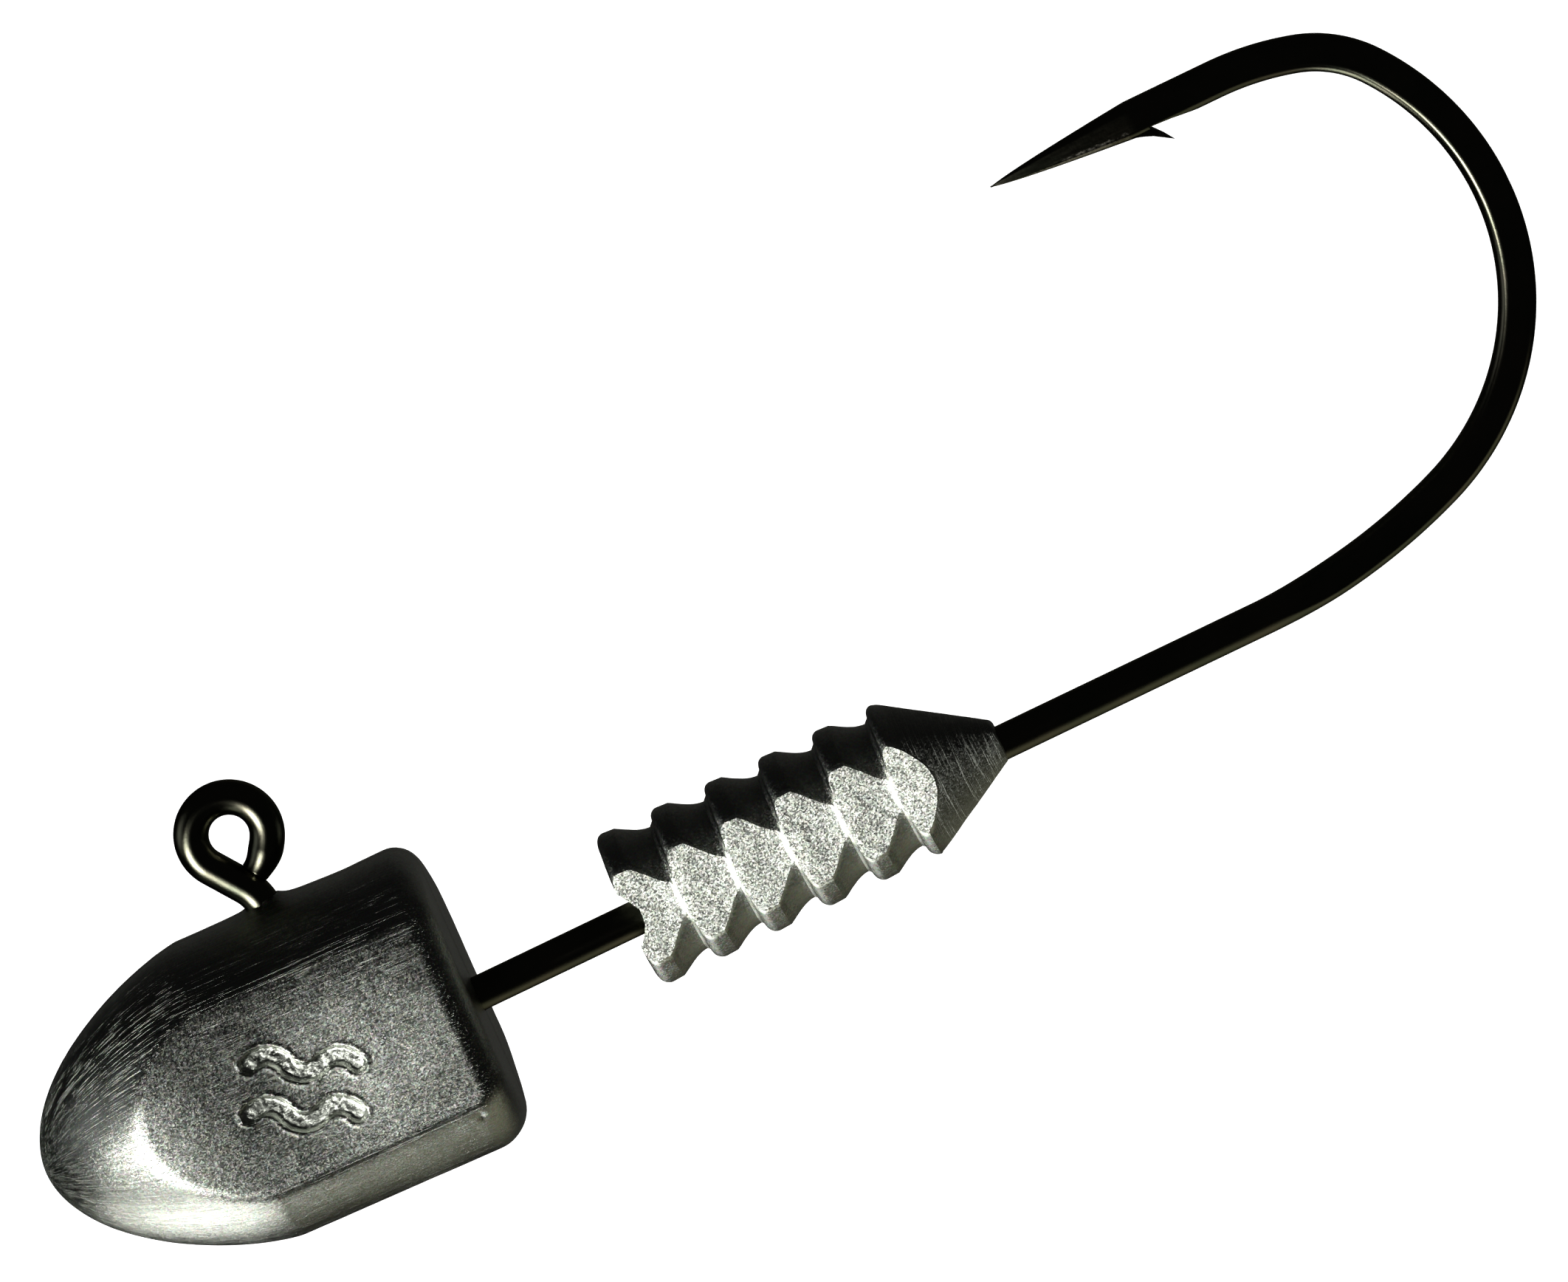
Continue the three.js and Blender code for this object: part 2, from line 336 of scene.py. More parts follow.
def settle(item, material, node, sharp):
    points = points_of(item) * MM + ORIGIN
    item.data.vertices.foreach_set("co", points.ravel())
    item.data.shade_smooth()
    item.data.set_sharp_from_angle(angle=math.radians(sharp))
    item.data.materials.clear()
    item.data.materials.append(material)
    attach(item, "root")
    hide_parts(node)


# ---------------------------------------------------------------- paths and sweeps

def trace(x, y, heading, moves, spacing):
    """Stations [x, y, heading, along] on tangent lines and arcs, each move as (length, turn)."""
    stations = [(x, y, heading, 0.0)]
    for length, turn in moves:
        x, y, heading, along = stations[-1]
        steps = max(2, math.ceil(length / spacing))
        for k in range(1, steps + 1):
            share = k / steps
            if turn == 0:
                dx, dy = math.cos(heading) * length * share, math.sin(heading) * length * share
            else:
                radius, angle = length / turn, heading + turn * share
                dx = radius * (math.sin(angle) - math.sin(heading))
                dy = -radius * (math.cos(angle) - math.cos(heading))
            stations.append((x + dx, y + dy, heading + turn * share, along + length * share))
    return np.array(stations)


def arc(radius, turn):
    return (radius * abs(turn), turn)


def sweep(stations, section, around):
    """Rings of a bar along the stations. The section gives (side, lift) offsets round the path."""
    turns = np.linspace(0, 2 * math.pi, around, endpoint=False)
    rings = []
    for x, y, heading, along in stations:
        side, lift = section(along, turns)
        rings.append(np.column_stack([
            x - side * math.sin(heading),
            y + side * math.cos(heading),
            lift,
        ]))
    return np.array(rings)


def round_section(diameter):
    return lambda along, turns: (diameter / 2 * np.cos(turns), diameter / 2 * np.sin(turns))


# ---------------------------------------------------------------- hook

def head_top(x):
    """The weight's top line: its axis rises towards the nose."""
    return HEAD_RISE - x * math.tan(HEAD_TILT) + HEAD_RADIUS / math.cos(HEAD_TILT)


def stem_moves():
    neck_start = head_top(-STEM_SETBACK) - NECK_SINK
    shift = NECK_RADIUS * (1 - math.cos(NECK_TURN))
    neck_length = (EYE_RADIUS * math.cos(NECK_TURN) - shift) / math.sin(NECK_TURN)
    return [
        (STEM_SETBACK - LEG_BEND, 0),
        arc(LEG_BEND, -math.pi / 2),
        (neck_start - LEG_BEND, 0),
        arc(NECK_RADIUS, NECK_TURN),
        (neck_length, 0),
    ]


def hook_stations():
    stem = trace(0, 0, math.pi, stem_moves(), 0.12)
    x, y, heading, _ = stem[-1]
    eye = trace(x, y, heading, [arc(EYE_RADIUS, -EYE_TURN), arc(TAIL_RADIUS, -TAIL_TURN)], 0.08)
    eye[:, 3] += stem[-1, 3]
    front = np.vstack([stem, eye[1:]])[::-1]
    front[:, 2] += math.pi
    front[:, 3] *= -1
    throat_turn = math.pi - sum(turn for _, turn in BENDS)
    moves = [(SHANK, 0)] + [arc(*bend) for bend in BENDS]
    moves += [arc(THROAT_RADIUS, throat_turn), (POINT_LENGTH, 0)]
    rear = trace(0, 0, 2 * math.pi, moves, 0.14)
    return np.vstack([front, rear[1:]]), stem[-1]


def hook_section(start, tip):
    """Round wire, forged flatter round the bend, tapered to the tip and narrowed at the eye's end."""
    def section(along, turns):
        forging = smooth(along, SHANK, SHANK + FORGE_LEAD)
        taper = np.clip((tip - along) / TAPER_LENGTH, 0, 1) ** TAPER_POWER
        tail = lerp(TAIL_SCALE, 1, smooth(along - start, 0, TAIL_LENGTH))
        scale = max(taper, TIP_SCALE) * tail
        width = scale * (WIRE + forging * FORGE_SPREAD) / 2
        thickness = scale * (WIRE - forging * FORGE_SQUASH) / 2
        edge = scale * FORGE_EDGE * forging
        lift = width * np.sin(turns)
        if edge > 0:
            lift = np.sign(lift) * soft_limit(np.abs(lift), thickness, edge)
        return width * np.cos(turns), lift
    return section


def cut_tail(rings, stations, neck_end):
    """Cuts the eye's open end along the neck's side, with a nipped, slightly ragged face."""
    heading, along = neck_end[2:]
    ahead = np.array([math.cos(heading), math.sin(heading), 0])
    across = np.array([math.sin(heading), -math.cos(heading), 0])
    past = stations[:, 3] + along
    near = stations[(past > TAIL_SIDE[0]) & (past < TAIL_SIDE[1])][::-1]
    neck = near[:, :3] * np.array([1, 1, 0])
    side = neck @ across + (WIRE / 2 + TAIL_CLEARANCE) / np.abs(np.cos(near[:, 2] - heading))
    for ring in rings[:TAIL_RINGS]:
        limit = np.interp(ring @ ahead, neck @ ahead, side)
        ragged = TAIL_RAGGED * np.abs(rough(ring, 0.3, 2, 4.0))
        short = np.maximum(limit + ragged - ring @ across, 0)
        ring += short[:, None] * across
    return rings


def prism(name, corners, widths, tip):
    """A closed prism in the hook's plane. Each corner is (back from the tip, depth) and has a width."""
    edge = (WIRE + FORGE_SPREAD) / 2
    line = np.array([(tip[0] + back, tip[1] - edge + depth) for back, depth in corners])
    half = np.array(widths)[:, None] / 2
    count = len(corners)
    points = np.vstack([np.hstack([line, -half]), np.hstack([line, half])])
    faces = [list(range(count)), list(range(2 * count - 1, count - 1, -1))]
    faces += [[(i + 1) % count, i, i + count, (i + 1) % count + count] for i in range(count)]
    made = make_object(name, points, faces)
    if volume_of(made) < 0:
        made.data.flip_normals()
    return made


def make_hook():
    stations, neck_end = hook_stations()
    tip = stations[-1]
    rings = sweep(stations, hook_section(stations[0, 3], tip[3]), 40)
    rings = cut_tail(rings, stations, neck_end)
    rings[..., 0] = np.minimum(rings[..., 0], (hook_high.x - ORIGIN[0]) / MM)
    hook = solid("hook_wire", rings)
    front, back, depth = NOTCH_FRONT[0], NOTCH_BACK[0], BARB_TIP[1]
    notch = [NOTCH_FRONT, (front, depth), (back, depth), NOTCH_BACK, NOTCH_FLOOR]
    combine(hook, prism("notch", notch, [2 * WIRE] * len(notch), tip), "DIFFERENCE")
    corners = [corner for corner, _ in BARB]
    widths = [width for _, width in BARB]
    combine(hook, prism("barb", corners, widths, tip), "UNION")
    return hook, tip


# ---------------------------------------------------------------- weight

def corner_points(along, radius, size, start, end, steps):
    angles = np.linspace(start, end, steps)
    return np.column_stack([along + size * np.cos(angles), radius + size * np.sin(angles)])


def nose_radius(along):
    """The weight's radius, from the tip of the nose to the round barrel."""
    share = np.clip(-(along + HEAD_LENGTH - NOSE_LENGTH) / NOSE_LENGTH, 0, 1)
    return HEAD_RADIUS * (1 - share ** NOSE_TAPER) ** NOSE_FULLNESS


def head_profile(corner):
    """Points (along, radius) from the nose to the end of the rear corner."""
    nose_along = -HEAD_LENGTH + NOSE_LENGTH * (1 - np.cos(np.linspace(0.012, math.pi / 2, 150)))
    nose = np.column_stack([nose_along, nose_radius(nose_along)])
    barrel_start = -HEAD_LENGTH + NOSE_LENGTH
    along = np.linspace(barrel_start, -corner, 96)[1:-1]
    barrel = np.column_stack([along, np.full_like(along, HEAD_RADIUS)])
    rear = corner_points(-corner, HEAD_RADIUS - corner, corner, math.pi / 2, 0, 15)
    return np.vstack([nose, barrel, rear])


def head_turns():
    """Angles round the weight from +Y, close together over the upper flat."""
    edge = math.sin(FLAT_SPAN)
    upper = np.arccos(np.linspace(edge, -edge, 120))
    low = np.linspace(math.pi / 2 + FLAT_SPAN, 3 * math.pi / 2 - FLAT_SPAN, 74)[1:-1]
    under = 2 * math.pi - np.arccos(np.linspace(-edge, edge, 70))
    high = np.linspace(3 * math.pi / 2 + FLAT_SPAN, 5 * math.pi / 2 - FLAT_SPAN, 74)[1:-1]
    return np.concatenate([upper, low, under, high])


def wave_paths():
    """The centre lines of the mark's strokes on the upper flat."""
    reach = 3 * WAVE_RADIUS * math.sin(WAVE_SWING)
    slant = np.array([
        [math.cos(MARK_SLANT), math.sin(MARK_SLANT)],
        [-math.sin(MARK_SLANT), math.cos(MARK_SLANT)],
    ])
    paths = []
    for row in range(WAVE_COUNT):
        start = (row - (WAVE_COUNT - 1) / 2) * WAVE_PITCH
        moves = [arc(WAVE_RADIUS, turn * 2 * WAVE_SWING) for turn in (-1, 1, -1)]
        line = trace(-reach, start, WAVE_SWING, moves, 0.12)[:, :2]
        paths.append(line @ slant + np.array(MARK_CENTRE))
    return paths


def stroke_distance(points):
    """Distance in the flat's plane from each point to the nearest stroke's centre line."""
    nearest = np.full(len(points), 9.0)
    for path in wave_paths():
        for a, b in zip(path[:-1], path[1:]):
            step = b - a
            share = np.clip(((points[:, :2] - a) @ step) / (step @ step), 0, 1)
            gap = np.linalg.norm(points[:, :2] - (a + share[:, None] * step), axis=1)
            nearest = np.minimum(nearest, gap)
    return nearest


def press_mark(points):
    """Sinks the strokes in the upper flat and raises a thin lip round them."""
    upper = points[:, 2] > HALF_THICK - 1
    flat = points[upper]
    gap = stroke_distance(flat)
    wall = 1 - smooth(gap, STROKE_FLOOR, STROKE_EDGE)
    crumbs = rough(flat, 0.16, 3, 9.0)
    lip = np.exp(-((gap - STROKE_EDGE - LIP_OFFSET) / LIP_WIDTH) ** 2)
    lip *= 0.75 + 0.6 * rough(flat, 0.5, 2, 2.0)
    flat[:, 2] += -wall * (STROKE_DEPTH + STROKE_CRUMBS * crumbs) + MARK_LIP * lip
    points[upper] = flat
    return points


def flat_fall(x, y):
    """How far the upper flat lies under its highest level."""
    crown = CROWN * np.maximum(y, 0) ** 2
    front = FRONT_FALL * np.clip((FRONT_FALL_START - x) / FRONT_FALL_LENGTH, 0, 2) ** 2
    dish = DISH * np.exp(-((x - DISH_CENTRE) ** 2 + (y * 0.8) ** 2) / DISH_REACH ** 2)
    return crown + front + dish


def gather_stem(points):
    """Draws the lead up the stem in a small fillet, more on the side away from the nose."""
    behind = points[:, 0] > -STEM_SETBACK
    reach = np.hypot(points[:, 0] + STEM_SETBACK, points[:, 2]) - WIRE / 2
    fillet = np.where(behind, FILLET_BEHIND, FILLET_AHEAD)
    height = fillet * np.exp(-np.maximum(reach, 0) / FILLET_REACH)
    dip = TOP_DIP * np.exp(-((points[:, 0] - TOP_DIP_AT) / TOP_DIP_LENGTH) ** 2)
    top = smooth(points[:, 1], 5, 6.5)
    points[:, 1] += top * (height - dip)
    return points


def make_head(channel):
    profiles = [head_profile(TOP_CORNER), head_profile(LOW_CORNER)]
    turns = head_turns()
    low = (1 - np.cos(turns))[None, :] / 2
    low = smooth(low, 0.55, 1.0)
    along = lerp(profiles[0][:, :1], profiles[1][:, :1], low)
    radius = lerp(profiles[0][:, 1:], profiles[1][:, 1:], low)
    rings = np.stack([along, radius * np.cos(turns), radius * np.sin(turns)], axis=-1)
    past = np.maximum(along + TOP_CORNER, 0)
    corner = TOP_CORNER - np.sqrt(np.maximum(TOP_CORNER ** 2 - past ** 2, 0))
    flat = HALF_THICK - corner
    upper_flat = flat - flat_fall(rings[..., 0], rings[..., 1])
    flat = np.where(rings[..., 2] > 0, upper_flat, flat)
    blend = lerp(FRONT_BLEND, FLAT_BLEND, smooth(rings[..., 0], *BLEND_CHANGE))
    rings[..., 2] = np.sign(rings[..., 2]) * soft_limit(np.abs(rings[..., 2]), flat, blend)
    face = rings[-1] * np.linspace(1, 0, FACE_RINGS)[1:-1, None, None]
    face[..., 0] = rings[-1][:, 0]
    rings = np.vstack([rings, face])
    normals = grid_normals(rings)
    wave = rough(rings, 3.2, 3, 1.0)
    pits = rough(rings, 0.45, 2, 5.0)
    seam = SEAM_HEIGHT * np.exp(-(rings[..., 2] / SEAM_WIDTH) ** 2)
    sink = -CAST_WAVE * (0.5 + 0.5 * np.clip(wave, -1, 1)) - CAST_PITS * (1 + np.clip(pits, -1, 1))
    quiet = smooth(rings[..., 0], -HEAD_LENGTH, -HEAD_LENGTH + 1)
    rings = rings + normals * ((sink + seam) * quiet)[..., None]
    cos, sin = math.cos(-HEAD_TILT), math.sin(-HEAD_TILT)
    x, y = rings[..., 0].copy(), rings[..., 1].copy()
    rings[..., 0] = x * cos - y * sin
    rings[..., 1] = x * sin + y * cos + HEAD_RISE
    shape = rings.shape
    points = press_mark(gather_stem(rings.reshape(-1, 3)))
    pit = np.hypot(points[:, 0] - PIT_AT[0], points[:, 1] - PIT_AT[1])
    upper = points[:, 2] > HALF_THICK - 1.5
    points[:, 2] -= np.where(upper, PIT_DEPTH * np.exp(-(pit / PIT_RADIUS) ** 2), 0)
    points[:, 2] = np.clip(points[:, 2], -HALF_THICK, HALF_THICK)
    points[:, 0] = np.maximum(points[:, 0], (head_low.x - ORIGIN[0]) / MM)
    head = solid("lead_weight", points.reshape(shape))
    return combine(head, channel, "DIFFERENCE")


# ---------------------------------------------------------------- keeper

def keeper_profile(corner, lean):
    """Points (along, radius) of the ribbed keeper from its dished end to the cone's end."""
    crest = RIB_RADIUS - corner
    dish = KEEPER_START + DISH_DEPTH
    parts = [
        np.column_stack([np.full(8, dish), np.linspace(0.05, RIB_RADIUS - DISH_RIM, 8)]),
        np.column_stack([
            np.linspace(dish, KEEPER_START, 8)[1:-1],
            np.linspace(RIB_RADIUS - DISH_RIM, crest, 8)[1:-1],
        ]),
    ]
    for index in range(RIBS - 1):
        face = KEEPER_START + index * RIB_PITCH + lean
        parts.append(corner_points(face + corner, crest, corner, math.pi, math.pi / 2, 9))
        slope_start = face + corner + RIB_LAND
        slope_length = RIB_PITCH - RIB_LAND - RIB_FACE
        share = np.linspace(0, 1, 20)[1:]
        fall = np.sin(share ** 1.15 * math.pi / 2)
        parts.append(np.column_stack([
            slope_start + share * (slope_length - corner + 0.25 - lean),
            lerp(RIB_RADIUS, GROOVE_RADIUS, fall),
        ]))
        parts.append(steep_face(parts[-1][-1], face + RIB_PITCH, crest))
    cone = KEEPER_START + (RIBS - 1) * RIB_PITCH + lean
    end = cone + CONE_LENGTH - lean
    end_radius = WIRE / 2 + CONE_END_WALL
    parts.append(corner_points(cone + corner, crest, corner, math.pi, math.pi / 2, 9))
    tail = corner_points(
        end - CONE_END_ROUND, end_radius - CONE_END_ROUND, CONE_END_ROUND, math.radians(60), 0, 8)
    along = np.linspace(cone + corner, tail[0, 0], 46)[1:-1]
    past = along - cone - CONE_LAND
    steepness = (RIB_RADIUS - tail[0, 1]) / (tail[0, 0] - cone - CONE_LAND)
    fall = steepness * (past + np.sqrt(past ** 2 + CONE_CREST_BLEND ** 2)) / 2
    parts.append(np.column_stack([along, RIB_RADIUS - fall]))
    parts.append(tail)
    parts.append(np.column_stack([np.full(6, end), np.linspace(tail[-1][1], 0.05, 7)[1:]]))
    return np.vstack(parts)


def steep_face(foot, face, crest):
    """The lean face from a groove to the next rib's corner."""
    share = np.linspace(0, 1, 8)[1:-1]
    return np.column_stack([
        lerp(foot[0], face, smooth(share, 0, 1)),
        lerp(foot[1], crest, share ** 1.3),
    ])


def keeper_rise(x):
    cone = KEEPER_START + (RIBS - 1) * RIB_PITCH
    return lerp(KEEPER_RISE, CONE_END_RISE, np.clip((x - cone) / CONE_LENGTH, 0, 1))


def rib_relief(x):
    """The ribs show faintly on the flats: a short rise at each steep face, then a long fall."""
    index = (x - KEEPER_START) / RIB_PITCH
    share = index - np.floor(index)
    fall = smooth(share, 0.05, 0.8) * (1 - smooth(share, 0.91, 1.0))
    return np.where((index > 0.1) & (index < RIBS - 1), -fall, 0)


def flats_slab():
    """What lies between the keeper's two flats, with the ribs' faint relief on both."""
    x = np.arange(KEEPER_START - 1, KEEPER_START + RIBS * RIB_PITCH + CONE_LENGTH, 0.08)
    y = np.arange(-RIB_RADIUS - 0.6, RIB_RADIUS + 1.4, 0.12)
    x_grid, y_grid = np.meshgrid(x, y, indexing="ij")
    top = np.stack([x_grid, y_grid, np.full_like(x_grid, KEEPER_HALF)], axis=-1)
    relief = RIB_RELIEF * rib_relief(x_grid)
    dents = FLAT_DENTS * (1 + np.clip(rough(top, 0.5, 3, 8.0), -1, 1))
    top[..., 2] += relief - dents
    under = top[:, ::-1] * np.array([1, 1, -1])
    return solid("slab", np.concatenate([top, under], axis=1))


def make_keeper(channel):
    top = keeper_profile(TOP_RIB_CORNER, TOP_FACE_LEAN)
    low = keeper_profile(LOW_RIB_CORNER, 0)
    turns = np.linspace(0, 2 * math.pi, 160, endpoint=False)
    share = ((1 - np.cos(turns)) / 2)[None, :, None]
    profile = lerp(top[:, None], low[:, None], share)
    rings = np.stack([
        profile[..., 0],
        profile[..., 1] * np.cos(turns),
        profile[..., 1] * np.sin(turns),
    ], axis=-1)
    normals = grid_normals(rings)
    lumps = rough(rings, 1.1, 3, 3.0)
    grit = rough(rings, 0.22, 2, 6.0)
    sink = -KEEPER_LUMPS * (1 + np.clip(lumps, -1, 1)) - KEEPER_GRIT * (1 + np.clip(grit, -1, 1))
    rings = rings + normals * sink[..., None]
    in_dish = np.arange(len(rings))[:, None] < DISH_RINGS
    crumble = DISH_CRUMBLE * (1 + np.clip(rough(rings, 0.3, 3, 7.0), -1, 1))
    rings[..., 0] += np.where(in_dish, crumble, 0)
    rings[..., 1] += keeper_rise(rings[..., 0])
    keeper = solid("lead_keeper", rings)
    combine(keeper, flats_slab(), "INTERSECT")
    return combine(keeper, channel, "DIFFERENCE")


# ---------------------------------------------------------------- materials

class Graph:
    """A short way to write a material's nodes."""

    def __init__(self, name):
        self.material = bpy.data.materials.new(name)
        self.material.use_nodes = True
        self.tree = self.material.node_tree
        self.tree.nodes.clear()

    def add(self, kind, inputs=None, **settings):
        node = self.tree.nodes.new("ShaderNode" + kind)
        for key, value in settings.items():
            setattr(node, key, value)
        for key, value in (inputs or {}).items():
            if isinstance(value, bpy.types.NodeSocket):
                self.tree.links.new(value, node.inputs[key])
            else:
                node.inputs[key].default_value = value
        return node

    def attribute(self, name, output="Vector"):
        return self.add("Attribute", attribute_name=name).outputs[output]

    def vector_math(self, operation, *values):
        return self.add("VectorMath", dict(enumerate(values)), operation=operation).outputs[0]

    def scaled(self, vector, scale):
        return self.vector_math("MULTIPLY", vector, scale)

    def noise(self, vector, scale, detail, roughness):
        return self.add("TexNoise", {
            "Vector": vector, "Scale": scale, "Detail": detail, "Roughness": roughness,
        }).outputs["Fac"]

    def math(self, operation, *values):
        return self.add("Math", dict(enumerate(values)), operation=operation).outputs[0]

    def span(self, value, low, high, start=0.0, end=1.0):
        return self.add("MapRange", {
            "Value": value, "From Min": low, "From Max": high, "To Min": start, "To Max": end,
        }).outputs["Result"]

    def mix(self, factor, a, b):
        """Blends two colours."""
        return self.add("Mix", {0: factor, 6: a, 7: b}, data_type="RGBA").outputs[2]

    def bump(self, height, distance):
        return self.add("Bump", {"Height": height, "Distance": distance, "Strength": 1.0}).outputs[0]

    def flecks(self, vector, scale):
        """Small cells of many colours, for the faint colours in a bright grain."""
        return self.add("TexVoronoi", {"Vector": vector, "Scale": scale}).outputs["Color"]

    def facets(self, vector, scale, tilt, normal):
        """Small crystal grains, each with its own lean, so that they glint one by one."""
        cells = self.flecks(vector, scale)
        centred = self.vector_math("SUBTRACT", cells, (0.5, 0.5, 0.5))
        lean = self.scaled(centred, (tilt, tilt, tilt))
        return self.vector_math("NORMALIZE", self.vector_math("ADD", normal, lean))

    def metal(self, colour, roughness, normal, edge=1.0):
        """A bare metal whose gloss ends without a haze."""
        shader = self.add("BsdfMetallic", {
            "Base Color": colour, "Edge Tint": grey(edge), "Roughness": roughness, "Normal": normal,
        }, distribution="BECKMANN", fresnel_type="F82")
        return self.surface(shader)

    def surface(self, shader):
        output = self.add("OutputMaterial")
        self.tree.links.new(shader.outputs[0], output.inputs["Surface"])
        return self.material

    def finish(self, **inputs):
        named = {key.replace("_", " "): value for key, value in inputs.items()}
        return self.surface(self.add("BsdfPrincipled", named))


def grey(value):
    return (value, value, value, 1.0)


def lead_grey(value):
    """Bare lead's grey is a little green."""
    return (value * 0.96, value, value * 0.91, 1.0)


def brushed_lead():
    """Satin lead: lengthwise rubbing marks, small glinting grains, tarnish and a brighter mark."""
    g = Graph("brushed_lead")
    spot = g.attribute("spot")
    brush = g.attribute("brush")
    mark = g.attribute("mark", "Fac")
    strokes = g.noise(g.scaled(brush, (0.6, 15.0, 15.0)), 1.0, 5.0, 0.7)
    hairs = g.noise(g.scaled(brush, (0.25, 24.0, 24.0)), 1.0, 2.0, 0.5)
    hairline = g.span(hairs, 0.6, 0.7)
    grains = g.noise(spot, 15.0, 3.0, 0.7)
    cloud = g.noise(spot, 0.3, 3.0, 0.5)
    tone = g.mix(g.span(cloud, 0.35, 0.65), lead_grey(0.38), lead_grey(0.46))
    tone = g.mix(g.math("MULTIPLY", g.span(strokes, 0.5, 0.7), 0.6), tone, lead_grey(0.72))
    tone = g.mix(g.math("MULTIPLY", g.span(strokes, 0.45, 0.3), 0.5), tone, lead_grey(0.24))
    tone = g.mix(g.math("MULTIPLY", hairline, 0.45), tone, lead_grey(0.8))
    tone = g.mix(g.math("MULTIPLY", g.span(grains, 0.5, 0.3), 0.5), tone, lead_grey(0.2))
    tone = g.mix(0.1, tone, g.flecks(spot, 14.0))
    tone = g.mix(mark, tone, lead_grey(0.85))
    shine = g.span(g.math("ADD", strokes, cloud), 0.7, 1.3, 0.405, 0.46)
    height = g.math("ADD", strokes, g.math("MULTIPLY", grains, 0.3))
    height = g.math("SUBTRACT", height, g.math("MULTIPLY", hairline, 1.6))
    normal = g.bump(height, 0.006 * MM)
    normal = g.facets(spot, 17.0, 0.15, normal)
    return g.metal(tone, shine, normal)


def frosted_lead():
    """Matte lead as cast: a bright frost of small grains, with turning marks on the cone, and painted
    shade on the rounded sides and the cone.
    """
    g = Graph("frosted_lead")
    spot = g.attribute("spot")
    brush = g.attribute("brush")
    cone = g.attribute("cone", "Fac")
    side = g.attribute("side", "Fac")
    cloud = g.noise(spot, 0.9, 4.0, 0.6)
    grains = g.noise(spot, 20.0, 3.0, 0.7)
    rings = g.noise(g.scaled(brush, (11.0, 0.25, 0.25)), 1.0, 3.0, 0.6)
    ring = g.math("MULTIPLY", g.span(rings, 0.52, 0.66), cone)
    tone = g.mix(g.span(cloud, 0.3, 0.7), lead_grey(0.9), lead_grey(0.98))
    tone = g.mix(g.span(grains, 0.45, 0.3), tone, lead_grey(0.7))
    # Painted shade: the rounded sides are darkened towards a dark grey by the side attribute.
    tone = g.mix(side, tone, lead_grey(0.28))
    tone = g.mix(0.1, tone, g.flecks(spot, 12.0))
    # Painted shade: the cone, turned away from the key light, is painted darker.
    tone = g.mix(g.math("MULTIPLY", cone, 0.7), tone, lead_grey(0.5))
    tone = g.mix(g.math("MULTIPLY", ring, 0.5), tone, lead_grey(0.9))
    shine = g.span(grains, 0.3, 0.7, 0.54, 0.6)
    shine = g.math("ADD", shine, g.math("MULTIPLY", cone, 0.2))
    height = g.math("ADD", g.math("MULTIPLY", grains, 0.25), g.math("MULTIPLY", ring, 0.9))
    normal = g.bump(height, 0.012 * MM)
    normal = g.facets(spot, 18.0, 0.34, normal)
    return g.metal(tone, shine, normal)


def black_nickel():
    """Glossy black nickel with fine draw marks, worn to bare steel at the point and barb."""
    g = Graph("black_nickel")
    spot = g.attribute("spot")
    brush = g.attribute("brush")
    worn = g.attribute("worn", "Fac")
    draw = g.noise(g.scaled(brush, (0.5, 9.0, 9.0)), 1.0, 4.0, 0.6)
    specks = g.noise(spot, 6.0, 3.0, 0.7)
    cloud = g.noise(spot, 0.5, 3.0, 0.6)
    tone = g.mix(g.span(cloud, 0.35, 0.65), (0.125, 0.135, 0.097, 1), (0.17, 0.158, 0.12, 1))
    rubbed = g.span(g.math("ADD", worn, g.math("MULTIPLY", specks, 0.9)), 0.98, 1.2)
    tone = g.mix(rubbed, tone, (0.42, 0.40, 0.35, 1))
    dots = g.span(specks, 0.72, 0.78)
    tone = g.mix(g.math("MULTIPLY", dots, 0.8), tone, (0.3, 0.28, 0.22, 1))
    shine = g.span(g.math("ADD", draw, rubbed), 0.35, 1.6, 0.34, 0.42)
    height = g.math("ADD", g.math("MULTIPLY", draw, 0.6), specks)
    normal = g.bump(height, 0.003 * MM)
    return g.metal(tone, shine, normal, 0.35)


def pale_floor():
    g = Graph("pale_floor")
    spot = g.add("TexCoord").outputs["Object"]
    cloud = g.noise(spot, 1.5, 3.0, 0.5)
    tone = g.mix(cloud, grey(0.93), grey(0.96))
    return g.finish(Base_Color=tone, Roughness=0.9, Emission_Color=grey(1.0), Emission_Strength=0.85)


# ---------------------------------------------------------------- assembly

def lead_channel(grip):
    """The wire's path through the castings, as a bar that runs out past both ends."""
    stem = trace(0, 0, math.pi, stem_moves()[:3] + [(1.2, 0)], 0.3)
    lead_in = trace(1.5, 0, math.pi, [(1.5, 0)], 0.5)
    stations = np.vstack([lead_in[:-1], stem])
    return solid("channel", sweep(stations, round_section(WIRE + 2 * grip), 40))


def shank_channel(grip):
    stations = trace(2, 0, 0, [(28, 0)], 1.0)
    return solid("channel", sweep(stations, round_section(WIRE + 2 * grip), 40))


def add_spots(item):
    points = points_of(item)
    set_attribute(item, "spot", points)
    return points


def finish_head(head):
    points = add_spots(head)
    rise = HEAD_RISE - points[:, 0] * math.tan(HEAD_TILT)
    y, z = points[:, 1] - rise, points[:, 2]
    scale = HEAD_RADIUS / np.maximum(nose_radius(points[:, 0]), 0.9)
    set_attribute(head, "brush", np.column_stack([points[:, 0], y * scale, z * scale]))
    gap = stroke_distance(points)
    upper = points[:, 2] > HALF_THICK - 1
    sunk = np.where(upper, 1 - smooth(gap, STROKE_EDGE - 0.12, STROKE_EDGE + 0.06), 0)
    set_attribute(head, "mark", sunk)
    settle(head, brushed_lead(), "head", 50)


